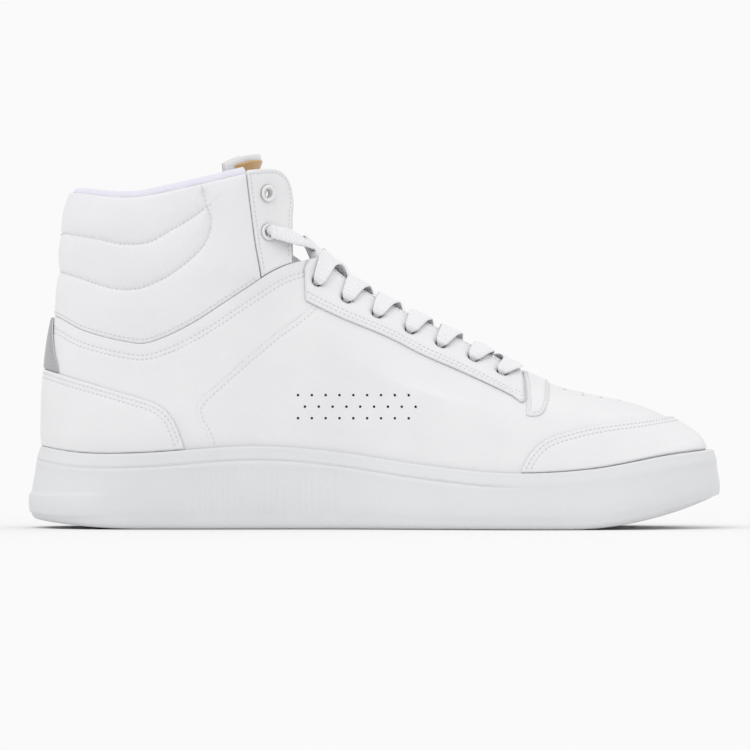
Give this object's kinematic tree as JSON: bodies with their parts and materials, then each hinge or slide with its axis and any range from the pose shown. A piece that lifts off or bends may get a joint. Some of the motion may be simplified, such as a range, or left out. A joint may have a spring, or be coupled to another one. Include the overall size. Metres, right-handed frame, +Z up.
{
  "type": "basketball high top",
  "caption": "White leather lace-up court shoe with a padded ankle collar, eyelet flaps, flat lace and a moulded cup sole.",
  "frame": {"origin": "middle of the shoe's footprint box, on the floor", "axes": "+X to the toe, +Y to the outer (lateral) side of a left shoe, +Z up"},
  "size_m": [0.3012, 0.1076, 0.1624],
  "materials": {
    "sole_rubber": "matte moulded white rubber",
    "foam": "open foam",
    "fibre_board": "pressed fibre board",
    "lining_cloth": "brushed knit lining",
    "white_leather": "smooth coated leather, fine grain",
    "grey_leather": "smooth grey leather",
    "stiffener": "resin-stiffened cloth",
    "label_weave": "plain gold weave",
    "lace_weave": "flat woven lace",
    "lace_tip": "clear wrapped film",
    "eyelet_enamel": "white enamel"
  },
  "bodies": {
    "shoe": {"outsole": "sole_rubber", "midsole_wedge": "foam", "insole_board": "fibre_board", "vamp": "white_leather", "quarter_medial": "white_leather", "quarter_lateral": "white_leather", "collar_shell": "white_leather", "collar_flap_medial": "white_leather", "collar_flap_lateral": "white_leather", "toe_overlay": "white_leather", "throat_overlay": "white_leather", "eyestay_medial": "white_leather", "eyestay_lateral": "white_leather", "heel_overlay": "white_leather", "heel_tab": "grey_leather", "toe_puff": "stiffener", "heel_counter": "stiffener", "upper_lining": "lining_cloth", "collar_foam": "foam", "collar_lining": "lining_cloth", "shoelace": "lace_weave", "lace_tip_medial": "lace_tip", "lace_tip_lateral": "lace_tip", "collar_eyelet_laced_medial": "eyelet_enamel", "collar_eyelet_empty_medial": "eyelet_enamel", "collar_eyelet_laced_lateral": "eyelet_enamel", "collar_eyelet_empty_lateral": "eyelet_enamel"},
    "tongue": {"tongue_shell": "white_leather", "tongue_foam": "foam", "tongue_lining": "lining_cloth", "tongue_label": "label_weave"},
    "footbed": {"sockliner": "lining_cloth"}
  },
  "joints": [
    {"name": "tongue_drop", "type": "hinge", "parent": "shoe", "child": "tongue", "pos_m": [0.0755, 0, 0.0555], "axis": [0, 1, 0], "range_deg": [-7, 0]},
    {"name": "footbed_lift", "type": "hinge", "parent": "shoe", "child": "footbed", "pos_m": [0.132, 0, 0.0215], "axis": [0, 1, 0], "range_deg": [0, 6]}
  ]
}
